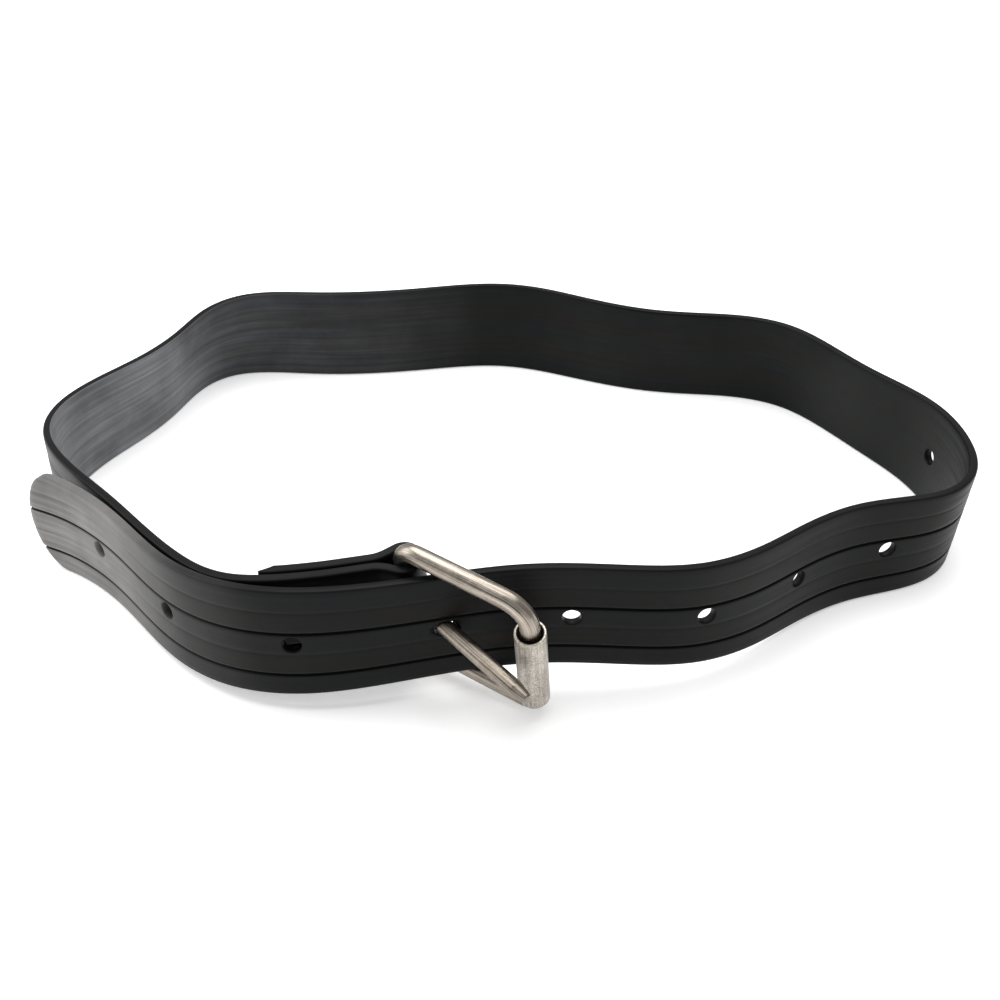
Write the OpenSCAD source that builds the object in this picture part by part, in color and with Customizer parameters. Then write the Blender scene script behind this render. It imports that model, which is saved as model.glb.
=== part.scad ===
// Dive weight belt: one moulded rubber strap standing on its long edge as a
// loop, with a welded wire buckle, a loose tube roller and a pointed tongue.
// Millimetres, Z up. The strap's lower edge rests on z = 0.
// X runs along the loop's long side, the buckle is on the -Y side.

/* [Strap] */
// width of the strap, bottom edge to top edge
strap_width = 50; // [50]
// thickness of the strap
strap_thickness = 3.8; // [3:0.1:5]
// diameter of the adjustment holes
hole_diameter = 7.5; // [6:0.1:9]
// how far the rounded free end bulges past its straight edges
tip_bulge = 15; // [8:0.5:20]
// length of the folded-back layer, from the bar to its cut end
fold_length = 56; // [40:1:80]
// gap between the folded layers, with the glue film in its middle
glue_thickness = 0.5; // [0.4:0.05:0.8]

// length of the fold that is glued, next to the bar
glued_length = 26; // [16:1:26]

/* [Buckle] */
// diameter of the buckle's wire
wire_diameter = 7.6; // [6:0.1:8]
// centre to centre height of the two arms, measured along the bar
frame_height = 60; // [57:0.1:62]
// centre to centre distance from the bar to the roller side
frame_reach = 55; // [50:0.5:65]
// centreline radius of the two corners beside the bar
bar_bend = 7; // [6:0.5:8]
// centreline radius of the upper corner beside the roller
roller_bend = 10; // [8:0.5:11]
// centreline radius of the lower corner beside the roller
lower_bend = 5; // [4.5:0.5:6]
// running clearance on the radius round the bar
bar_clearance = 0.06; // [0.03:0.01:0.1]

/* [Roller] */
// outside diameter of the roller tube
roller_outer = 12; // [10:0.1:14]
// inside diameter of the roller tube
roller_inner = 9.8; // [8:0.1:11]
// length of the roller tube
roller_length = 42.5; // [36:0.5:43]

/* [Tongue] */
// diameter of the tongue's rod
tongue_diameter = 6.4; // [4:0.1:7]
// length from the bar's axis to the tongue's point
tongue_length = 65; // [60:0.5:76]
// length of the tongue's tapered point
point_length = 6.5; // [4:0.5:10]
// height of the tongue's eye along the bar
eye_height = 7.5; // [5:0.5:9]
// outside diameter of the tongue's eye
eye_diameter = 14; // [12:0.5:16]
// angle of the tongue outward from the plane of the frame
tongue_angle = 14; // [12:0.5:16]

/* [Hidden] */
$fn = 64;

// --- the place and lean of the buckle's bar --------------------------------
// brings the middle of the whole part's plan to x = 0, y = 0
centring = [0.744, 12.69, 0];
// lower end of the bar's centreline, where it meets the lower arm's centreline
foot = [-32.6, -115.3, 9.1] + centring;
function unit(v) = v / norm(v);
// direction of the bar, leaning outward over its length
bar_dir = [-0.06, -0.26, sqrt(1 - 0.06 * 0.06 - 0.26 * 0.26)];
// direction of the arms, from the bar to the roller side
function across(az) = let (h = [cos(az), sin(az), 0]) unit(h - (h * bar_dir) * bar_dir);
arm_dir = across(-34);
arm_side = cross(bar_dir, arm_dir);
// direction of the strap as it reaches the bar, and its inward side
run_dir = across(8);
run_side = cross(bar_dir, run_dir);
bar_radius = wire_diameter / 2;
bore_radius = bar_radius + bar_clearance;
wrap_radius = bore_radius + strap_thickness / 2;
half = strap_thickness / 2;
bar_foot = foot + (frame_height - strap_width) / 2 * bar_dir;
layer_step = strap_thickness + glue_thickness;

// --- the strap's path -------------------------------------------------------
// Each row is a guide point of the strap's lower edge: x, y, height, then how
// far the upper edge stands sideways of the lower one in x and y.
// It runs from the free end, past the buckle, round the right bend, along the
// back, round the left bend and up to the bar.
lean = strap_width * bar_dir;
function near_bar(s) = let (p = bar_foot - s * run_dir - layer_step / 2 * run_side)
    [p[0], p[1], p[2], lean[0], lean[1]];
guide = [
    [-206, -49, 0, 0, 0],
    [-188, -57, 0, 0, 0],
    [-168, -73, 0, 0, 0],
    [-151, -93, 1, 0, 1],
    [-131, -118, 2, 0, 1],
    [-107, -137, 5, 0, 1],
    [-80, -145, 8, 0, 0],
    [-55, -143, 9.5, 0, -2],
    [-30, -137, 10.5, 0, -4],
    [0, -130, 11, 0, -4],
    [25, -128.5, 11, 0, -4],
    [50, -128, 9, 0, -4],
    [76, -125.5, 6, 0, -3],
    [101, -113, 3.5, 0, -1],
    [124, -92, 1, 0, 0],
    [147, -77, 0, 0, 0],
    [168, -71, 0, 1, -2],
    [188, -64, 0, 3, -4],
    [203, -48, 0, 3, -2],
    [208, -24, 0, 2, -1],
    [207, 2, 0, 0, 0],
    [200, 24, 0, -4, -1],
    [187, 46, 0, -6, -3],
    [173, 72, 0, -5, -3],
    [157, 95, 0, -3, -3],
    [132, 106, 0, -1, -3],
    [103, 108, 0, 0, -3],
    [78, 112, 0, 0, -3],
    [50, 123, 0, 0, -1],
    [24, 136, 0, 1, 2],
    [0, 143, 0, 1, 2],
    [-24, 141, 0, 0, 1],
    [-48, 136, 0, 0, 0],
    [-75, 132, 0, 0, 0],
    [-102, 131, 0, 0, 0],
    [-126, 134, 0, 0, -1],
    [-148, 134, 0, 3, -5],
    [-164, 124, 0, 6, -8],
    [-173, 106, 0, 9, -6],
    [-178, 84, 0, 9, -5],
    [-188, 60, 0, 8, -5],
    [-203, 36, 0, 6, -4],
    [-212, 10, 0, 4, -1],
    [-209, -15, 0, 1, 0],
    [-196, -36, 0, 0, 0],
    [-180, -54, 0, 0, 0],
    [-163, -72, 0, 1, 0],
    [-146, -91, 0, 1, -1],
    [-125, -110.5, 1, 0, -4],
    [-101, -124, 4, -2, -9],
    near_bar(34),
    near_bar(24),
    near_bar(14)
];
last_row = len(guide) - 1;
// the rows beside the bar are centred already, through the bar's own place
function centred(i) = i > last_row - 3 ? guide[i]
    : guide[i] + [centring[0], centring[1], 0, 0, 0];
function row(i) = centred(min(max(i - 2, 0), last_row));
// uniform cubic spline through the guide rows, its ends held on the end rows
function blend(i, u) =
    ((1 - u) * (1 - u) * (1 - u) * row(i)
    + (3 * u * u * u - 6 * u * u + 4) * row(i + 1)
    + (3 * u * u - 3 * u * u * u + 3 * u + 1) * row(i + 2)
    + u * u * u * row(i + 3)) / 6;
fine = 8;
samples = [for (i = [0:last_row + 1]) for (k = [0:fine - 1]) blend(i, k / fine), centred(last_row)];
function xyz(r) = [r[0], r[1], r[2]];
steps = [for (i = [1:len(samples) - 1]) norm(xyz(samples[i]) - xyz(samples[i - 1]))];
function sums(v, i = 0, t = 0, out = []) =
    i == len(v) ? concat(out, [t]) : sums(v, i + 1, t + v[i], concat(out, [t]));
travel = sums(steps);
run_length = travel[len(travel) - 1];
tables = [for (c = [0:4]) [for (i = [0:len(samples) - 1]) [travel[i], samples[i][c]]]];
// lower edge point, and the unit direction up the strap, at a length along it
function low(s) = [lookup(s, tables[0]), lookup(s, tables[1]), lookup(s, tables[2])];
function up(s) = let (x = lookup(s, tables[3]), y = lookup(s, tables[4]))
    [x, y, sqrt(strap_width * strap_width - x * x - y * y)] / strap_width;
function along(s) = unit(low(min(s + 1.5, run_length)) - low(max(s - 1.5, 0)));
// unit direction out of the strap's outer face
function outward(s) = unit(cross(along(s), up(s)));

// A ring is [low point, up, outward, lower end, upper end], the ends measured
// up the strap from its lower edge.
function ring(s, a = 0, b = strap_width) = [low(s), up(s), outward(s), a, b];
mid = strap_width / 2;
tip_rings = [for (t = [10:10:80]) ring(tip_bulge * (1 - cos(t)), mid - mid * sin(t), mid + mid * sin(t))];
run_count = 260;
run_rings = [for (i = [0:run_count]) ring(tip_bulge + (run_length - tip_bulge) * i / run_count)];

// the turn round the bar: distances back from the bar and off its mid line
inset = (layer_step / 2 - 2);
ease = [[-12, -2 - inset], [-10.5, -2.12 - inset], [-9, -2.5], [-7.5, -3.0], [-6, -3.6], [-4.2, -4.4]];
function turn_point(s, d) = bar_foot + s * run_dir + d * run_side;
arc_steps = 18;
turn = concat(
    [for (e = ease) turn_point(e[0], e[1])],
    [for (i = [0:arc_steps]) let (t = -25 + 230 * i / arc_steps)
        turn_point(wrap_radius * sin(t), -wrap_radius * cos(t))],
    [for (i = [5:-1:0]) turn_point(ease[i][0], -ease[i][1])]
);
function turn_tangent(i) = unit(turn[min(i + 1, len(turn) - 1)] - turn[max(i - 1, 0)]);
turn_rings = [for (i = [0:len(turn) - 1])
    [turn[i], bar_dir, unit(cross(turn_tangent(i), bar_dir)), 0, strap_width]];
// the folded-back layer follows the inner face of the run
back_count = 9;
back_length = fold_length - 14;
back_rings = [for (i = [0:back_count]) let (s = run_length - back_length * i / back_count)
    [low(s) - layer_step * outward(s), up(s), -outward(s), 0, strap_width]];

strap_rings = concat(tip_rings, run_rings, turn_rings, back_rings);

// corners of one ring: inner low, outer low, outer high, inner high
function corner(r, h, d) = r[0] + h * r[1] + d * r[2];
// the lower corners stay level, so that the edge lies flat on the ground
function level(r, h, d) =
    let (n = unit([r[2][0], r[2][1], 0])) r[0] + h * r[1] + d / (n * r[2]) * n;
function section(r) = [level(r, r[3], -half), level(r, r[3], half), corner(r, r[4], half),
    corner(r, r[4], -half)];

module sweep(rings) {
    m = 4;
    n = len(rings);
    points = [for (r = rings) each section(r)];
    sides = [for (i = [0:n - 2]) for (k = [0:m - 1])
        [i * m + k, i * m + (k + 1) % m, (i + 1) * m + (k + 1) % m, (i + 1) * m + k]];
    first = [[3, 2, 1, 0]];
    last = [[(n - 1) * m, (n - 1) * m + 1, (n - 1) * m + 2, (n - 1) * m + 3]];
    polyhedron(points, concat(sides, first, last));
}

// place children in the buckle's own axes: x along the arms, z up the bar
module at_bar(up_bar = 0) {
    p = foot + up_bar * bar_dir;
    x = arm_dir;
    y = arm_side;
    z = bar_dir;
    multmatrix([[x[0], y[0], z[0], p[0]], [x[1], y[1], z[1], p[1]], [x[2], y[2], z[2], p[2]], [0, 0, 0, 1]])
        children();
}
// place children with z out of the strap's face at a length along the strap
module at_face(s, h = strap_width / 2) {
    p = low(s) + h * up(s);
    z = outward(s);
    y = up(s);
    x = cross(y, z);
    multmatrix([[x[0], y[0], z[0], p[0]], [x[1], y[1], z[1], p[1]], [x[2], y[2], z[2], p[2]], [0, 0, 0, 1]])
        children();
}

// adjustment holes, as lengths from the free end
hole_at = [45, 104, 164, 270, 323, 373, 422, 470, 517];
tongue_level = frame_height / 2;
// the seat's flare, measured from the arm's centreline
flare_end = 7.6;
flare_radius = 8.2;

module strap() {
    color([0.06, 0.06, 0.065])
    difference() {
        sweep(strap_rings);
        for (s = hole_at)
            at_face(s) cylinder(h = 12, d = hole_diameter, center = true);
        // the round seat of the bar, flared at both ends to clear the frame's corners
        at_bar(0) rotate_extrude() polygon([[0, -1], [flare_radius, -1], [bore_radius, flare_end],
            [bore_radius, frame_height - flare_end], [flare_radius, frame_height + 1],
            [0, frame_height + 1]]);
        // the slot for the tongue's eye, through both sides of the turn
        at_bar(tongue_level - eye_height / 2 - 1)
            cylinder(h = eye_height + 2, r = eye_diameter / 2 + 1.2);
        // the hole the tongue is in, opened along the tongue and by its swing
        for (side = [-1.1, 1.1])
            at_bar(tongue_level) rotate([0, 0, -0.5 - tongue_angle]) translate([6, side, 0])
                rotate([0, 90, 0]) cylinder(h = 34, d = hole_diameter);
    }
}

module glue_film() {
    film = glue_thickness / 2 - 0.17;
    // it fills the straight part of the fold, next to the bar
    rings = [for (i = [0:12]) let (s = run_length - 2 - glued_length * i / 12)
        [low(s) - layer_step / 2 * outward(s), up(s), outward(s), 1, strap_width - 1]];
    points = [for (r = rings) each [corner(r, r[3], -film), corner(r, r[3], film),
        corner(r, r[4], film), corner(r, r[4], -film)]];
    n = len(rings);
    sides = [for (i = [0:n - 2]) for (k = [0:3])
        [(i + 1) * 4 + k, (i + 1) * 4 + (k + 1) % 4, i * 4 + (k + 1) % 4, i * 4 + k]];
    color([0.35, 0.34, 0.32])
    polyhedron(points, concat(sides, [[0, 1, 2, 3]],
        [[(n - 1) * 4 + 3, (n - 1) * 4 + 2, (n - 1) * 4 + 1, (n - 1) * 4]]));
}

module wire(len) {
    cylinder(h = len, d = wire_diameter);
}

module buckle_frame() {
    b = bar_bend;
    c = roller_bend;
    e = lower_bend;
    w = frame_reach;
    t = frame_height;
    color([0.72, 0.70, 0.67])
    at_bar() {
        // the bar, the roller side and the two arms
        translate([0, 0, b]) wire(t - 2 * b);
        translate([w, 0, e]) wire(t - c - e);
        translate([b, 0, 0]) rotate([0, 90, 0]) wire(w - b - e);
        translate([b, 0, t]) rotate([0, 90, 0]) wire(w - b - c);
        // four round corners
        translate([b, 0, b]) rotate([90, 0, 0])
            rotate_extrude(angle = 90, start = 180) translate([b, 0]) circle(d = wire_diameter);
        translate([w - e, 0, e]) rotate([90, 0, 0])
            rotate_extrude(angle = 90, start = 270) translate([e, 0]) circle(d = wire_diameter);
        translate([w - c, 0, t - c]) rotate([90, 0, 0])
            rotate_extrude(angle = 90, start = 0) translate([c, 0]) circle(d = wire_diameter);
        translate([b, 0, t - b]) rotate([90, 0, 0])
            rotate_extrude(angle = 90, start = 90) translate([b, 0]) circle(d = wire_diameter);
    }
}

module roller() {
    color([0.78, 0.76, 0.73])
    at_bar(wire_diameter / 2 + 0.35)
        translate([frame_reach, 0, 0])
            difference() {
                cylinder(h = roller_length, d = roller_outer);
                translate([0, 0, -1]) cylinder(h = roller_length + 2, d = roller_inner);
            }
}

module tongue() {
    rod = tongue_diameter;
    color([0.70, 0.68, 0.65])
    at_bar(tongue_level) rotate([0, 0, -tongue_angle])
        difference() {
            union() {
                translate([0, 0, -eye_height / 2]) cylinder(h = eye_height, d = eye_diameter);
                rotate([0, 90, 0]) cylinder(h = tongue_length - point_length, d = rod);
                translate([tongue_length - point_length, 0, 0]) rotate([0, 90, 0])
                    cylinder(h = point_length, d1 = rod, d2 = rod * 0.55);
            }
            translate([0, 0, -eye_height]) cylinder(h = 2 * eye_height, r = bore_radius);
        }
}

strap();
glue_film();
buckle_frame();
roller();
tongue();
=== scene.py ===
import bisect
import math

import bmesh
import bpy
from mathutils import Matrix, Vector


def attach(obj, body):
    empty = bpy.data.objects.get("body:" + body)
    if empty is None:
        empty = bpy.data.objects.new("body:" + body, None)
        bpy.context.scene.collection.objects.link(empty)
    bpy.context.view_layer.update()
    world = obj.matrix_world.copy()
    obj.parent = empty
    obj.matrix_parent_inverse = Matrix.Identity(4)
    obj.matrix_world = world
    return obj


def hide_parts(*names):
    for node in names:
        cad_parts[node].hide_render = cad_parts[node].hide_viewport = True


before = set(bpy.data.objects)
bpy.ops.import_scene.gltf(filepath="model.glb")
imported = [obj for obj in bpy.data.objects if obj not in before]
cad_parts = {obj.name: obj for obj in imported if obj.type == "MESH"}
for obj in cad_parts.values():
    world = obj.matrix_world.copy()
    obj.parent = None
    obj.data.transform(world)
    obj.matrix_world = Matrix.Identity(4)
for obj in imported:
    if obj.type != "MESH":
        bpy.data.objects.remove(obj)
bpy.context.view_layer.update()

MM = 0.001
CENTRING = Vector((0.744, 12.69, 0.0))

# ---------------------------------------------------------------- the shape
# All lengths here are in millimetres, as in the CAD, and are turned into
# metres when a mesh is made.
WIDTH, THICK = 50.0, 3.8
HALF = THICK / 2
FOOT = Vector((-32.6, -115.3, 9.1)) + CENTRING
BAR = Vector((-0.06, -0.26, math.sqrt(1 - 0.06**2 - 0.26**2)))
WIRE = 3.8
HEIGHT, REACH = 60.0, 55.0
WRAP = WIRE + 0.06 + HALF
STEP = THICK + 0.5
FOLD = 56.0
TONGUE_ANGLE = 14.0


def across(az):
    h = Vector((math.cos(math.radians(az)), math.sin(math.radians(az)), 0))
    return (h - h.dot(BAR) * BAR).normalized()


ARM = across(-34)
SIDE = BAR.cross(ARM)
RUN = across(8)
RUN_SIDE = BAR.cross(RUN)
BAR_FOOT = FOOT + BAR * ((HEIGHT - WIDTH) / 2)
LEAN = BAR * WIDTH


def near_bar(s):
    p = BAR_FOOT - RUN * s - RUN_SIDE * (STEP / 2)
    return (p.x, p.y, p.z, LEAN.x, LEAN.y)


# x, y and height of the strap's lower edge, and how far its upper edge stands
# sideways of it, from the free end round the loop to the bar
GUIDE = [
    (-206, -49, 0, 0, 0), (-188, -57, 0, 0, 0), (-168, -73, 0, 0, 0), (-151, -93, 1, 0, 1),
    (-131, -118, 2, 0, 1), (-107, -137, 5, 0, 1), (-80, -145, 8, 0, 0), (-55, -143, 9.5, 0, -2),
    (-30, -137, 10.5, 0, -4), (0, -130, 11, 0, -4), (25, -128.5, 11, 0, -4), (50, -128, 9, 0, -4),
    (76, -125.5, 6, 0, -3), (101, -113, 3.5, 0, -1), (124, -92, 1, 0, 0), (147, -77, 0, 0, 0),
    (168, -71, 0, 1, -2), (188, -64, 0, 3, -4), (203, -48, 0, 3, -2), (208, -24, 0, 2, -1),
    (207, 2, 0, 0, 0), (200, 24, 0, -4, -1), (187, 46, 0, -6, -3), (173, 72, 0, -5, -3),
    (157, 95, 0, -3, -3), (132, 106, 0, -1, -3), (103, 108, 0, 0, -3), (78, 112, 0, 0, -3),
    (50, 123, 0, 0, -1), (24, 136, 0, 1, 2), (0, 143, 0, 1, 2), (-24, 141, 0, 0, 1),
    (-48, 136, 0, 0, 0), (-75, 132, 0, 0, 0), (-102, 131, 0, 0, 0), (-126, 134, 0, 0, -1),
    (-148, 134, 0, 3, -5), (-164, 124, 0, 6, -8), (-173, 106, 0, 9, -6), (-178, 84, 0, 9, -5),
    (-188, 60, 0, 8, -5), (-203, 36, 0, 6, -4), (-212, 10, 0, 4, -1), (-209, -15, 0, 1, 0),
    (-196, -36, 0, 0, 0), (-180, -54, 0, 0, 0), (-163, -72, 0, 1, 0), (-146, -91, 0, 1, -1),
    (-125, -110.5, 1, 0, -4), (-101, -124, 4, -2, -9),
]
GUIDE = [(x + CENTRING.x, y + CENTRING.y, z, dx, dy) for x, y, z, dx, dy in GUIDE]
GUIDE += [near_bar(34), near_bar(24), near_bar(14)]


def spline(rows, fine):
    last = len(rows) - 1
    pick = lambda i: rows[min(max(i - 2, 0), last)]
    out = []
    for i in range(last + 2):
        for k in range(fine):
            u = k / fine
            w = ((1 - u) ** 3, 3 * u**3 - 6 * u * u + 4, 3 * u * u - 3 * u**3 + 3 * u + 1, u**3)
            out.append([sum(w[j] * pick(i + j)[c] for j in range(4)) / 6 for c in range(5)])
    out.append(list(rows[last]))
    return out


class Path:
    """Low point, up direction and outward normal of the strap at a length along it."""

    def __init__(self):
        rows = spline(GUIDE, 24)
        low = [Vector(r[:3]) for r in rows]
        up = []
        for r in rows:
            up.append(Vector((r[3], r[4], math.sqrt(WIDTH**2 - r[3] ** 2 - r[4] ** 2))) / WIDTH)
        out = []
        for i in range(len(low)):
            t = low[min(i + 2, len(low) - 1)] - low[max(i - 2, 0)]
            out.append(t.cross(up[i]).normalized())
        run = len(low)
        # the turn round the bar
        ease = [
            (-12, -STEP / 2), (-10.5, -STEP / 2 - 0.12), (-9, -2.55), (-7.5, -3.0),
            (-6, -3.6), (-4.2, -4.4),
        ]
        place = lambda s, d: BAR_FOOT + RUN * s + RUN_SIDE * d
        turn = [place(*e) for e in ease]
        for i in range(41):
            t = math.radians(-25 + 230 * i / 40)
            turn.append(place(WRAP * math.sin(t), -WRAP * math.cos(t)))
        turn += [place(s, -d) for s, d in reversed(ease)]
        for i, p in enumerate(turn):
            t = turn[min(i + 1, len(turn) - 1)] - turn[max(i - 1, 0)]
            low.append(p)
            up.append(BAR.copy())
            out.append(t.cross(BAR).normalized())
        # the folded-back layer follows the inner face of the run
        length, i = 0.0, run - 1
        while length < FOLD - 14 and i > 0:
            low.append(low[i] - out[i] * STEP)
            up.append(up[i])
            out.append(-out[i])
            length += (low[i] - low[i - 1]).length
            i -= 1
        self.low, self.up, self.out = low, up, out
        self.at = [0.0]
        for i in range(1, len(low)):
            self.at.append(self.at[-1] + (low[i] - low[i - 1]).length)
        self.run_end = self.at[run - 1]
        self.turn_end = self.at[run - 1 + len(turn)]
        self.end = self.at[-1]

    def frame(self, s):
        s = min(max(s, 0.0), self.end)
        i = min(max(bisect.bisect_right(self.at, s) - 1, 0), len(self.at) - 2)
        gap = self.at[i + 1] - self.at[i]
        f = (s - self.at[i]) / gap if gap > 1e-9 else 0.0
        return (
            self.low[i].lerp(self.low[i + 1], f),
            self.up[i].lerp(self.up[i + 1], f).normalized(),
            self.out[i].lerp(self.out[i + 1], f).normalized(),
        )

    def place(self, s, h, d):
        low, up, out = self.frame(s)
        p = low + up * h + out * d
        p.z = max(p.z, 0.0)
        return p


path = Path()


# ---------------------------------------------------------------- the strap
HOLES = [45, 104, 164, 270, 323, 373, 422, 470, 517]
HOLE_R = 3.75
# columns across the rounded free end, and how far from the bar the slot for
# the tongue's eye reaches
TIP_COLUMNS = 9
SLOT_REACH = 8.4
ROWS = [
    0, 0.12, 0.45, 1.1, 3, 5, 7, 8.4, 9.1, 9.25, 9.45, 9.7, 10, 10.3, 10.55, 10.75, 10.9,
    11.6, 13, 15, 17, 18.7, 19.5, 20, 20.5, 22, 23.5, 25, 26.5, 28, 29.05, 29.25, 29.45,
    29.7, 30, 30.3, 30.55, 30.75, 30.9, 31.6, 33, 35, 37, 38.7, 39.5, 40, 40.5, 41.3, 43,
    45, 47, 48.9, 49.55, 49.88, 50,
]
LO, HI = ROWS.index(20.5), ROWS.index(29.05)


def outer_depth(h):
    """Height of the outer face over the strap's middle.

    The ribs are crowned, two grooves are deep and two are faint.
    """
    d = HALF
    band = (h % 10) / 10
    d -= 0.10 * (2 * band - 1) ** 4
    for g in (10, 30):
        d -= 1.1 * min(1.0, max(0.0, 1.6 - 2 * abs(h - g)))
    for g in (20, 40):
        d -= 0.14 * max(0.0, 1 - abs(h - g) / 0.6)
    return d


def edge_round(h):
    e = min(h, WIDTH - h)
    return 0.0 if e >= 1.1 else 0.65 * (1 - math.sqrt(max(0.0, 1 - ((1.1 - e) / 1.1) ** 2)))


def tongue_crossing():
    """Length along the strap and height up it where the tongue's axis crosses it."""
    start = FOOT + BAR * (HEIGHT / 2)
    way = Matrix.Rotation(math.radians(-TONGUE_ANGLE), 3, BAR) @ ARM
    best = (1e9, 0, 0)
    for k in range(1600):
        s = 180 + k * 0.05
        low, up, out = path.frame(s)
        n = (low - start).dot(out) / way.dot(out)
        rel = start + way * n - low
        t = out.cross(up)
        miss = abs(rel.dot(t))
        if miss < best[0] and 0 < n < 40:
            best = (miss, s, rel.dot(up))
    return best[1], best[2]


T_AT, T_UP = tongue_crossing()


def strap_mesh():
    # columns along the strap
    blocks = [(s, 4.3) for s in HOLES] + [(T_AT, 6.4)]
    cols = []
    s = 20.0
    while s < path.run_end - 8:
        cols.append(s)
        s += 2.0
    while s < path.turn_end + 4:
        cols.append(s)
        s += 0.7
    while s < path.end - 6:
        cols.append(s)
        s += 2.0
    cols += [path.end - 6 + k * 0.75 for k in range(9)]
    # the slot for the tongue's eye: where the turn is within reach of it
    def reach_of(s):
        r = path.frame(s)[0] - FOOT
        return (r - BAR * r.dot(BAR)).length

    around = [c for c in cols if c > path.run_end - 12 and reach_of(c) < SLOT_REACH]
    slot_lo, slot_hi = around[0], around[-1]
    for c, w in blocks:
        cols = [x for x in cols if abs(x - c) > w + 0.9]
        cols += [c + w * k / 3 for k in range(-3, 4)]
    cols.sort()
    skip = set()
    for c, w in blocks:
        i = min(range(len(cols)), key=lambda j: abs(cols[j] - (c - w)))
        for a in range(6):
            for b in range(LO, HI):
                skip.add((i + a, b))
    i0 = cols.index(slot_lo)
    i1 = cols.index(slot_hi)
    for a in range(i0, i1):
        for b in range(LO, HI):
            skip.add((a, b))
    verts, uvs, faces = [], [], []
    inner = set()

    def add(s, h, d):
        verts.append(path.place(s, h, d) * MM)
        uvs.append((s * MM, h * MM))
        return len(verts) - 1

    n_tip = TIP_COLUMNS
    total = n_tip + len(cols)

    def spot(j, h):
        """Length along the strap of column j at height h, with the free end's rounded outline."""
        if j >= n_tip:
            return cols[j - n_tip]
        y = min(abs(h - 25) / 25, 1.0)
        start = 15 * (1 - math.sqrt(max(0.0, 1 - y * y)))
        t = j / n_tip
        t = t * t * (3 - 2 * t) * 0.35 + t * 0.65
        return start + (20.0 - start) * t

    def depths(j, h):
        o = outer_depth(h) - edge_round(h)
        i = -HALF + edge_round(h)
        if j < 3:
            # the free end's edge is softened
            soft = (0.55, 0.16, 0.03)[j]
            o -= soft
            i += soft
        s = spot(j, h)
        if s > path.end - 6:
            # the folded layer's end is cut to a bevel
            f = (s - (path.end - 6)) / 6
            o = o + (i + 0.25 - o) * f
        return o, i

    grid_o, grid_i = [], []
    for j in range(total):
        ro, ri = [], []
        for h in ROWS:
            s = spot(j, h)
            o, i = depths(j, h)
            ro.append(add(s, h, o))
            ri.append(add(s, h, i))
        grid_o.append(ro)
        grid_i.append(ri)
    skip = {(a + n_tip, b) for a, b in skip}
    n = len(ROWS)
    for j in range(total - 1):
        for r in range(n - 1):
            if (j, r) in skip:
                continue
            faces.append((grid_o[j][r], grid_o[j + 1][r], grid_o[j + 1][r + 1], grid_o[j][r + 1]))
            inner.add(len(faces))
            faces.append((grid_i[j][r], grid_i[j][r + 1], grid_i[j + 1][r + 1], grid_i[j + 1][r]))
    # the long edges and the two ends
    for j in range(total - 1):
        faces.append((grid_i[j][0], grid_i[j + 1][0], grid_o[j + 1][0], grid_o[j][0]))
        faces.append((grid_o[j][n - 1], grid_o[j + 1][n - 1], grid_i[j + 1][n - 1], grid_i[j][n - 1]))
    for r in range(n - 1):
        faces.append((grid_o[0][r], grid_o[0][r + 1], grid_i[0][r + 1], grid_i[0][r]))
        faces.append((grid_o[-1][r + 1], grid_o[-1][r], grid_i[-1][r], grid_i[-1][r + 1]))

    # the round holes, each a fan of rings inside its block of cells
    def ring_of_block(j0):
        ids = [(j0 + a, LO) for a in range(6)]
        ids += [(j0 + 6, LO + b) for b in range(HI - LO)]
        ids += [(j0 + 6 - a, HI) for a in range(6)]
        ids += [(j0, HI - b) for b in range(HI - LO)]
        return ids

    for c, w in blocks:
        j0 = n_tip + min(range(len(cols)), key=lambda j: abs(cols[j] - (c - w)))
        ids = ring_of_block(j0)
        tongue = w > 5
        rx, ry = (4.7, HOLE_R) if tongue else (HOLE_R, HOLE_R)
        # the tongue leans through its hole, so the hole is cut askew
        skew = 0.9 if tongue else 0.0
        ch = T_UP if tongue else 25.0
        loops = []
        for face, sign in (("o", 1), ("i", -1)):
            grid = grid_o if face == "o" else grid_i
            outline = [grid[a][b] for a, b in ids]
            previous = outline
            for reach, sink in ((1.32, 0.0), (1.12, 0.02), (1.04, 0.12), (1.0, 0.38)):
                loop = []
                for k, (a, b) in enumerate(ids):
                    ang = math.atan2(ROWS[b] - 24.775, (cols[a - n_tip] - c) * (4.2 / w))
                    wide = reach if reach < 1.2 else 1 + 0.3 * 4.0 / w * 0.6
                    s = c + math.cos(ang) * rx * wide + skew * sign
                    h = ch + math.sin(ang) * ry * min(reach, 1.14)
                    base = outer_depth(min(max(h, 21), 28.6)) if sign > 0 else -HALF
                    loop.append(add(s, h, base - sign * sink))
                for k in range(len(ids)):
                    m = (k + 1) % len(ids)
                    q = (previous[k], previous[m], loop[m], loop[k])
                    faces.append(q if sign > 0 else q[::-1])
                previous = loop
            loops.append(previous)
        o, i = loops
        for k in range(len(o)):
            m = (k + 1) % len(o)
            faces.append((o[k], o[m], i[m], i[k]))
    # the slot's walls
    a0, a1 = i0 + n_tip, i1 + n_tip
    for j in range(a0, a1):
        faces.append((grid_o[j][LO], grid_o[j + 1][LO], grid_i[j + 1][LO], grid_i[j][LO]))
        faces.append((grid_o[j + 1][HI], grid_o[j][HI], grid_i[j][HI], grid_i[j + 1][HI]))
    for r in range(LO, HI):
        faces.append((grid_o[a0][r + 1], grid_o[a0][r], grid_i[a0][r], grid_i[a0][r + 1]))
        faces.append((grid_o[a1][r], grid_o[a1][r + 1], grid_i[a1][r + 1], grid_i[a1][r]))

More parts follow.
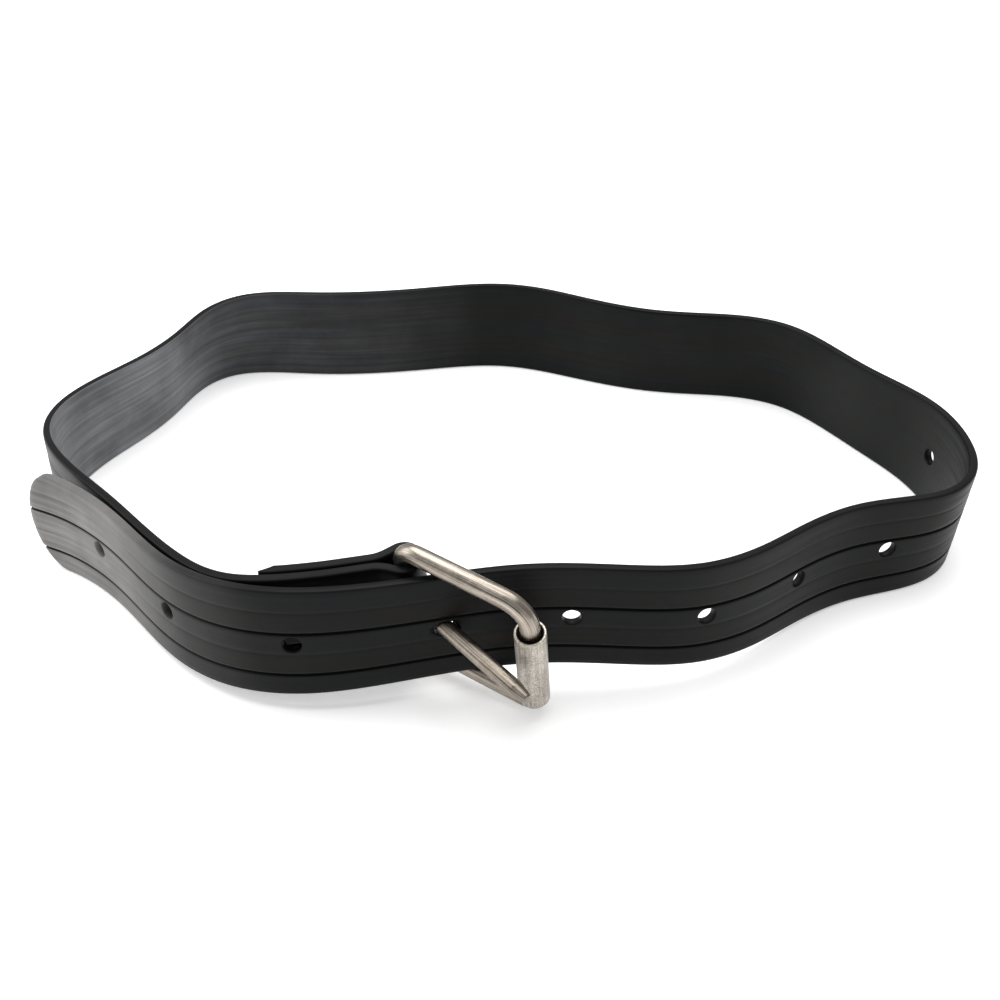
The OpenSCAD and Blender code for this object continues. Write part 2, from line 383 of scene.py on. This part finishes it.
    mesh = bpy.data.meshes.new("rubber_strap")
    mesh.from_pydata([tuple(v) for v in verts], [], faces)
    uv = mesh.uv_layers.new(name="along")
    for loop in mesh.loops:
        uv.data[loop.index].uv = uvs[loop.vertex_index]
    mesh.materials.append(rubber("moulded_rubber", True))
    mesh.materials.append(rubber("inner_rubber", False))
    for f in mesh.polygons:
        f.use_smooth = True
        f.material_index = 1 if f.index in inner else 0
    bm = bmesh.new()
    bm.from_mesh(mesh)
    bmesh.ops.recalc_face_normals(bm, faces=bm.faces)
    bm.to_mesh(mesh)
    bm.free()
    o = bpy.data.objects.new("rubber_strap", mesh)
    bpy.context.scene.collection.objects.link(o)
    return o


# ---------------------------------------------------------------- the metal
def from_bar(x, y, z):
    """A point in the buckle's own axes: x along the arms, z up the bar."""
    return (FOOT + ARM * x + SIDE * y + BAR * z) * MM


def sweep(name, centre, radius, sides=28, closed=True):
    """A round wire along points given in the buckle's plane (x, z)."""
    n = len(centre)
    verts, faces, uvs = [], [], []
    run = 0.0
    for i, (x, z) in enumerate(centre):
        px, pz = centre[i - 1]
        qx, qz = centre[(i + 1) % n]
        t = Vector((qx - px, 0, qz - pz)).normalized()
        side = Vector((0, 1, 0))
        nrm = t.cross(side)
        if i:
            run += math.hypot(x - px, z - pz)
        for k in range(sides):
            a = 2 * math.pi * k / sides
            off = side * math.cos(a) * radius + nrm * math.sin(a) * radius
            verts.append(from_bar(x + off.x, off.y, z + off.z))
            uvs.append((run * MM, k / sides))
    for i in range(n):
        j = (i + 1) % n
        for k in range(sides):
            m = (k + 1) % sides
            faces.append((i * sides + k, i * sides + m, j * sides + m, j * sides + k))
    mesh = bpy.data.meshes.new(name)
    mesh.from_pydata([tuple(v) for v in verts], [], faces)
    uv = mesh.uv_layers.new(name="along")
    for f in mesh.polygons:
        f.use_smooth = True
        seam = max(uvs[v][1] for v in f.vertices) > 0.9
        for li in f.loop_indices:
            u, v = uvs[mesh.loops[li].vertex_index]
            if seam and v < 0.5:
                v += 1.0
            uv.data[li].uv = (u, v)
    bm = bmesh.new()
    bm.from_mesh(mesh)
    bmesh.ops.recalc_face_normals(bm, faces=bm.faces)
    bm.to_mesh(mesh)
    bm.free()
    o = bpy.data.objects.new(name, mesh)
    bpy.context.scene.collection.objects.link(o)
    return o


def corner(cx, cz, r, a0, steps=12):
    out = []
    for i in range(steps + 1):
        a = math.radians(a0 + 90 * i / steps)
        out.append((cx + r * math.cos(a), cz + r * math.sin(a)))
    return out


def line(p, q, steps):
    (x0, z0), (x1, z1) = p, q
    return [(x0 + (x1 - x0) * i / steps, z0 + (z1 - z0) * i / steps) for i in range(1, steps)]


def frame_line():
    b, c, e = 7.0, 10.0, 5.0
    pts = corner(b, b, b, 180)
    pts += line(pts[-1], (REACH - e, 0), 24)
    pts += corner(REACH - e, e, e, 270)
    pts += line(pts[-1], (REACH, HEIGHT - c), 24)
    pts += corner(REACH - c, HEIGHT - c, c, 0)
    pts += line(pts[-1], (b, HEIGHT), 24)
    pts += corner(b, HEIGHT - b, b, 90)
    pts += line(pts[-1], (0, b), 24)
    return pts


wire = sweep("wire_frame", frame_line(), WIRE)


def lathe(name, profile, place, segments=72):
    """Turn a closed loop of (radius, height); place(x, y, z) puts a point in the frame."""
    verts, faces, uvs = [], [], []
    n = len(profile)
    for k in range(segments):
        a = 2 * math.pi * k / segments
        for r, z in profile:
            verts.append(place(r * math.cos(a), r * math.sin(a), z))
            uvs.append((z * MM, k / segments))
    for k in range(segments):
        m = (k + 1) % segments
        for i in range(n):
            j = (i + 1) % n
            faces.append((k * n + i, m * n + i, m * n + j, k * n + j))
    mesh = bpy.data.meshes.new(name)
    mesh.from_pydata([tuple(v) for v in verts], [], faces)
    uv = mesh.uv_layers.new(name="along")
    for f in mesh.polygons:
        f.use_smooth = True
        seam = max(uvs[v][1] for v in f.vertices) > 0.9
        for li in f.loop_indices:
            u, v = uvs[mesh.loops[li].vertex_index]
            uv.data[li].uv = (u, v + 1.0 if seam and v < 0.5 else v)
    bm = bmesh.new()
    bm.from_mesh(mesh)
    bmesh.ops.recalc_face_normals(bm, faces=bm.faces)
    bm.to_mesh(mesh)
    bm.free()
    o = bpy.data.objects.new(name, mesh)
    bpy.context.scene.collection.objects.link(o)
    return o


def round_rim(r_in, r_out, z0, z1, soft, steps=20):
    """Closed profile of a tube wall with rounded rims."""
    pts = []
    for i in range(steps + 1):
        pts.append((r_out, z0 + soft + (z1 - z0 - 2 * soft) * i / steps))
    for a in (30, 60, 90):
        t = math.radians(a)
        pts.append((r_out - soft + soft * math.cos(t), z1 - soft + soft * math.sin(t)))
    for a in (90, 60, 30, 0):
        t = math.radians(a)
        pts.append((r_in + soft - soft * math.cos(t), z1 - soft + soft * math.sin(t)))
    for i in range(1, steps + 1):
        pts.append((r_in, z1 - soft - (z1 - z0 - 2 * soft) * i / steps))
    for a in (30, 60, 90):
        t = math.radians(a)
        pts.append((r_in + soft - soft * math.cos(t), z0 + soft - soft * math.sin(t)))
    for a in (90, 60, 30):
        t = math.radians(a)
        pts.append((r_out - soft + soft * math.cos(t), z0 + soft - soft * math.sin(t)))
    return pts


ROLL_LOW = WIRE + 0.35
roller = lathe(
    "tube_roller",
    round_rim(4.9, 6.0, ROLL_LOW, ROLL_LOW + 42.5, 0.4),
    lambda x, y, z: from_bar(REACH + x, y, z),
)


def tongue_mesh():
    """An eye round the bar, a rod, and a point flattened on two sides."""
    turn = Matrix.Rotation(math.radians(-TONGUE_ANGLE), 3, "Z")
    up = HEIGHT / 2

    def put(x, y, z):
        p = turn @ Vector((x, y, z))
        return from_bar(p.x, p.y, p.z + up)

    eye = lathe("eye", round_rim(WIRE + 0.06, 7.0, -3.75, 3.75, 1.1, 6), put, 56)
    verts, faces, uvs = [], [], []
    sides = 28
    stations = [5.4, 6.5, 8] + [10 + 2 * k for k in range(25)]
    stations += [58.3, 58.5, 58.7, 60, 62, 64, 64.6, 64.85, 65]
    for x in stations:
        f = max(0.0, (x - 58.5) / 6.5)
        r = 3.2 * (1 - 0.42 * f)
        if x > 64.5:
            r -= (x - 64.5) * 0.5
        flat = 3.2 * (1 - 0.52 * f)
        for k in range(sides):
            a = 2 * math.pi * k / sides
            y, z = r * math.cos(a), r * math.sin(a)
            y = max(min(y, flat), -flat)
            if x < 8:
                z *= 1 + 0.18 * (8 - x) / 2.6
            verts.append(put(x, y, z))
            uvs.append((x * MM, k / sides))
    for i in range(len(stations) - 1):
        for k in range(sides):
            m = (k + 1) % sides
            faces.append((i * sides + k, i * sides + m, (i + 1) * sides + m, (i + 1) * sides + k))
    faces.append(tuple(reversed(range(sides))))
    last = (len(stations) - 1) * sides
    faces.append(tuple(range(last, last + sides)))
    mesh = bpy.data.meshes.new("rod")
    mesh.from_pydata([tuple(v) for v in verts], [], faces)
    uv = mesh.uv_layers.new(name="along")
    for f in mesh.polygons:
        f.use_smooth = len(f.vertices) == 4
        for li in f.loop_indices:
            uv.data[li].uv = uvs[mesh.loops[li].vertex_index]
    bm = bmesh.new()
    bm.from_mesh(mesh)
    bmesh.ops.recalc_face_normals(bm, faces=bm.faces)
    bm.to_mesh(mesh)
    bm.free()
    rod = bpy.data.objects.new("rod", mesh)
    bpy.context.scene.collection.objects.link(rod)
    pair = [eye, rod]
    with bpy.context.temp_override(
        active_object=eye, object=eye, selected_objects=pair, selected_editable_objects=pair
    ):
        bpy.ops.object.join()
    eye.name = "pointed_tongue"
    return eye


tongue = tongue_mesh()


# ---------------------------------------------------------------- materials
def material(name):
    m = bpy.data.materials.new(name)
    m.use_nodes = True
    t = m.node_tree
    bsdf = t.nodes["Principled BSDF"]
    return m, t, bsdf


def ramp(t, source, stops):
    r = t.nodes.new("ShaderNodeValToRGB")
    e = r.color_ramp.elements
    e[0].position, e[0].color = stops[0][0], (*stops[0][1], 1)
    e[1].position, e[1].color = stops[-1][0], (*stops[-1][1], 1)
    for p, c in stops[1:-1]:
        x = e.new(p)
        x.color = (*c, 1)
    t.links.new(source, r.inputs["Fac"])
    return r.outputs["Color"]


def mix(t, fac, a, b, kind="MIX"):
    m = t.nodes.new("ShaderNodeMix")
    m.data_type = "RGBA"
    m.blend_type = kind
    for k, v in ((0, fac), (6, a), (7, b)):
        if hasattr(v, "is_output"):
            t.links.new(v, m.inputs[k])
        elif k == 0:
            m.inputs[k].default_value = v
        else:
            m.inputs[k].default_value = (*v, 1)
    return m.outputs[2]


def math_node(t, op, a, b=None):
    m = t.nodes.new("ShaderNodeMath")
    m.operation = op
    for k, v in enumerate((a, b)):
        if v is None:
            continue
        if hasattr(v, "is_output"):
            t.links.new(v, m.inputs[k])
        else:
            m.inputs[k].default_value = v
    return m.outputs[0]


def mapping(t, source, scale):
    m = t.nodes.new("ShaderNodeMapping")
    m.inputs["Scale"].default_value = scale
    t.links.new(source, m.inputs["Vector"])
    return m.outputs["Vector"]


def noise(t, vector, scale, detail=4.0, rough=0.55):
    n = t.nodes.new("ShaderNodeTexNoise")
    n.inputs["Scale"].default_value = scale
    n.inputs["Detail"].default_value = detail
    n.inputs["Roughness"].default_value = rough
    t.links.new(vector, n.inputs["Vector"])
    return n.outputs["Fac"]


def rubber(name, ribbed):
    """Moulded rubber with dust and streaks, and a painted grey highlight on the free end; the ribbed
    outer face has painted shade in its two grooves, and the plain inner face also has a painted
    highlight inside the left bend.
    """
    m, t, bsdf = material(name)
    uv = t.nodes.new("ShaderNodeUVMap")
    uv.uv_map = "along"
    coord = t.nodes.new("ShaderNodeTexCoord")
    streaks = noise(t, mapping(t, uv.outputs["UV"], (12, 420, 1)), 1.0, 5, 0.6)
    smudge = noise(t, coord.outputs["Object"], 26, 5, 0.6)
    grain = noise(t, coord.outputs["Object"], 900, 3, 0.6)
    fine = noise(t, coord.outputs["Object"], 2600, 2, 0.5)
    split = t.nodes.new("ShaderNodeSeparateXYZ")
    t.links.new(uv.outputs["UV"], split.inputs[0])
    # cooler above each line moulded in the strap, warmer below it
    wave = math_node(t, "SINE", math_node(t, "MULTIPLY", split.outputs["Y"], math.pi * 2 / 0.02))
    tint = ramp(
        t,
        math_node(t, "ADD", math_node(t, "MULTIPLY", wave, 0.5), 0.5),
        [(0.0, (0.0052, 0.0044, 0.0039)), (1.0, (0.0036, 0.0043, 0.0050))],
    )
    dust = ramp(t, smudge, [(0.42, (0, 0, 0)), (0.78, (1, 1, 1))])
    dust_and_painted_highlight = mix(t, math_node(t, "MULTIPLY", dust, 0.22), tint, (0.022, 0.021, 0.0195))
    # painted highlight: a grey bloom painted on the strap's free end and on the inner face
    # inside its left bend, standing in for the grazing reflection of a large lamp on the left
    reach = ramp(
        t,
        split.outputs["X"],
        [(0.0, (1, 1, 1)), (0.06, (0.9, 0.9, 0.9)), (0.115, (0.12, 0.12, 0.12)), (0.15, (0, 0, 0))],
    )
    if not ribbed:
        inner_bend_highlight = ramp(
            t,
            split.outputs["X"],
            [(0.80, (0, 0, 0)), (0.95, (0.25, 0.25, 0.25)), (0.999, (0.75, 0.75, 0.75))],
        )
        inner_bend_highlight_fade = ramp(
            t,
            math_node(t, "SUBTRACT", split.outputs["X"], 0.9),
            [(0.18, (1, 1, 1)), (0.30, (0, 0, 0))],
        )
        reach = mix(t, 1.0, reach, mix(t, 1.0, inner_bend_highlight, inner_bend_highlight_fade, "MULTIPLY"), "ADD")
    # painted highlight: mottled by the smudge noise and mixed in as a lighter grey over the dusty
    # rubber, a bluer grey on the inner face
    highlight_mottle = ramp(t, smudge, [(0.30, (0.55, 0.55, 0.55)), (0.62, (1, 1, 1))])
    dust_and_painted_highlight = mix(t, mix(t, 1.0, reach, highlight_mottle, "MULTIPLY"), dust_and_painted_highlight, (0.215, 0.210, 0.205) if ribbed else (0.235, 0.240, 0.250))
    lines = ramp(t, streaks, [(0.40, (0.75, 0.75, 0.75)), (0.66, (1.25, 1.25, 1.25))])
    colour = mix(t, 1.0, dust_and_painted_highlight, lines, "MULTIPLY")
    if ribbed:
        # painted shade: the two moulded grooves are painted near black, standing in for the shade
        # deep in them
        height = math_node(t, "MINIMUM", split.outputs["Y"], 0.040)
        band = math_node(t, "PINGPONG", math_node(t, "SUBTRACT", height, 0.010), 0.010)
        groove_painted_shade = ramp(
            t, math_node(t, "MULTIPLY", band, 1000.0), [(0.55, (0, 0, 0)), (0.85, (1, 1, 1))]
        )
        colour = mix(t, groove_painted_shade, (0.002, 0.002, 0.002), colour)
    t.links.new(colour, bsdf.inputs["Base Color"])
    rough = t.nodes.new("ShaderNodeMapRange")
    rough.inputs["From Min"].default_value = 0.3
    rough.inputs["From Max"].default_value = 0.7
    rough.inputs["To Min"].default_value = 0.32
    rough.inputs["To Max"].default_value = 0.52
    t.links.new(streaks, rough.inputs["Value"])
    t.links.new(rough.outputs[0], bsdf.inputs["Roughness"])
    # fine moulded skin
    coarse_part = math_node(t, "MULTIPLY", grain, 0.7)
    fine_part = math_node(t, "MULTIPLY", fine, 0.3)
    skin = math_node(t, "ADD", coarse_part, fine_part)
    bump = t.nodes.new("ShaderNodeBump")
    bump.inputs["Strength"].default_value = 0.18
    bump.inputs["Distance"].default_value = 0.0002
    t.links.new(skin, bump.inputs["Height"])
    t.links.new(bump.outputs[0], bsdf.inputs["Normal"])
    bsdf.inputs["IOR"].default_value = 1.5
    bsdf.inputs["Specular IOR Level"].default_value = 0.10
    return m


def steel(name, base, low, high, pits=0.0, streak=0.5, seed=0.0):
    m, t, bsdf = material(name)
    uv = t.nodes.new("ShaderNodeUVMap")
    uv.uv_map = "along"
    coord = t.nodes.new("ShaderNodeTexCoord")
    drawn = noise(t, mapping(t, uv.outputs["UV"], (22, 34, 1)), 1.0, 6, 0.65)
    cloud = noise(t, coord.outputs["Object"], 160 + seed, 5, 0.6)
    speck = noise(t, coord.outputs["Object"], 1500 + seed, 3, 0.6)
    dark = tuple(c * 0.38 for c in base)
    light = tuple(min(1.0, c * 1.5) for c in base)
    c1 = ramp(t, drawn, [(0.38, dark), (0.48, base), (0.60, light)])
    c2 = mix(t, streak, base, c1)
    tarnish = ramp(t, cloud, [(0.35, (0.72, 0.69, 0.65)), (0.62, (1.0, 1.0, 1.0))])
    c3 = mix(t, 0.8, c2, tarnish, "MULTIPLY")
    if pits:
        holes = ramp(t, speck, [(0.40, (0.45, 0.43, 0.41)), (0.52, (1, 1, 1))])
        c3 = mix(t, pits, c3, holes, "MULTIPLY")
    t.links.new(c3, bsdf.inputs["Base Color"])
    rough = t.nodes.new("ShaderNodeMapRange")
    rough.inputs["From Min"].default_value = 0.3
    rough.inputs["From Max"].default_value = 0.7
    rough.inputs["To Min"].default_value = low
    rough.inputs["To Max"].default_value = high
    t.links.new(cloud, rough.inputs["Value"])
    t.links.new(rough.outputs[0], bsdf.inputs["Roughness"])
    drawn_part = math_node(t, "MULTIPLY", drawn, 0.5)
    speck_part = math_node(t, "MULTIPLY", speck, 0.5)
    height = math_node(t, "ADD", drawn_part, speck_part)
    bump = t.nodes.new("ShaderNodeBump")
    bump.inputs["Strength"].default_value = 0.22 + 0.3 * pits
    bump.inputs["Distance"].default_value = 0.00015
    t.links.new(height, bump.inputs["Height"])
    t.links.new(bump.outputs[0], bsdf.inputs["Normal"])
    bsdf.inputs["Metallic"].default_value = 1.0
    return m


def glue():
    m, t, bsdf = material("dried_glue")
    coord = t.nodes.new("ShaderNodeTexCoord")
    blots = noise(t, coord.outputs["Object"], 420, 4, 0.6)
    tone = ramp(t, blots, [(0.4, (0.02, 0.02, 0.019)), (0.6, (0.16, 0.15, 0.14))])
    t.links.new(tone, bsdf.inputs["Base Color"])
    bsdf.inputs["Roughness"].default_value = 0.6
    return m


strap = strap_mesh()
wire_steel = steel("drawn_wire_steel", (0.33, 0.295, 0.255), 0.24, 0.40, 0.15, 1.0)
tube_steel = steel("pitted_tube_steel", (0.52, 0.49, 0.44), 0.36, 0.54, 0.7, 0.4, 40)
rod_steel = steel("tongue_steel", (0.30, 0.265, 0.225), 0.26, 0.42, 0.3, 1.0, 90)

for piece, skin, body, node_name, slot_name in (
    (strap, None, "belt", "strap", "strap_rubber"),
    (wire, wire_steel, "frame", "buckle_frame", "frame_steel"),
    (roller, tube_steel, "roller_tube", "roller", "roller_steel"),
    (tongue, rod_steel, "prong", "tongue", "tongue_steel"),
):
    if skin:
        piece.data.materials.clear()
        piece.data.materials.append(skin)
    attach(piece, body)
    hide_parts(node_name)
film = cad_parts["glue_film"]
film.data.materials.clear()
film.data.materials.append(glue())

# ---------------------------------------------------------------- the studio
bpy.ops.mesh.primitive_plane_add(size=6, location=(0, 0, -0.0004))
floor = bpy.context.active_object
floor.name = "floor"
fm, ft, fb = material("pale_floor")
fb.inputs["Base Color"].default_value = (0.92, 0.92, 0.92, 1)
fb.inputs["Roughness"].default_value = 0.95
fb.inputs["Specular IOR Level"].default_value = 0.0
fb.inputs["Emission Color"].default_value = (1, 1, 1, 1)
fb.inputs["Emission Strength"].default_value = 0.35
floor.data.materials.append(fm)


def area(name, place, aim, size, power, colour=(1, 1, 1), size_y=None):
    d = bpy.data.lights.new(name, "AREA")
    d.energy = power
    d.color = colour
    d.size = size
    if size_y:
        d.shape = "RECTANGLE"
        d.size_y = size_y
    o = bpy.data.objects.new(name, d)
    bpy.context.scene.collection.objects.link(o)
    o.location = place
    o.rotation_mode = "QUATERNION"
    o.rotation_quaternion = (Vector(place) - Vector(aim)).to_track_quat("Z", "Y")
    return o


area("top_light", (0.0, 0.35, 1.5), (0, 0, 0), 1.6, 26)
area("left_light", (-1.2, 0.1, 0.7), (-0.1, 0, 0.02), 1.0, 9)

world = bpy.data.worlds.new("studio")
bpy.context.scene.world = world
world.use_nodes = True
world.node_tree.nodes["Background"].inputs["Color"].default_value = (1, 1, 1, 1)
world.node_tree.nodes["Background"].inputs["Strength"].default_value = 0.55
bpy.context.scene.view_settings.view_transform = "Standard"

# ---------------------------------------------------------------- the camera
ELEVATION, DISTANCE = 34.0, 585.4
cam_data = bpy.data.cameras.new("camera")
cam_data.sensor_width = 36
cam_data.lens = 43.2
cam_data.clip_start, cam_data.clip_end = 0.01, 50
camera = bpy.data.objects.new("camera", cam_data)
bpy.context.scene.collection.objects.link(camera)
e = math.radians(ELEVATION)
back = Vector((0, -math.cos(e), math.sin(e)))
camera.location = (CENTRING + back * DISTANCE) * MM
camera.rotation_mode = "QUATERNION"
camera.rotation_quaternion = back.to_track_quat("Z", "Y")
bpy.context.scene.camera = camera
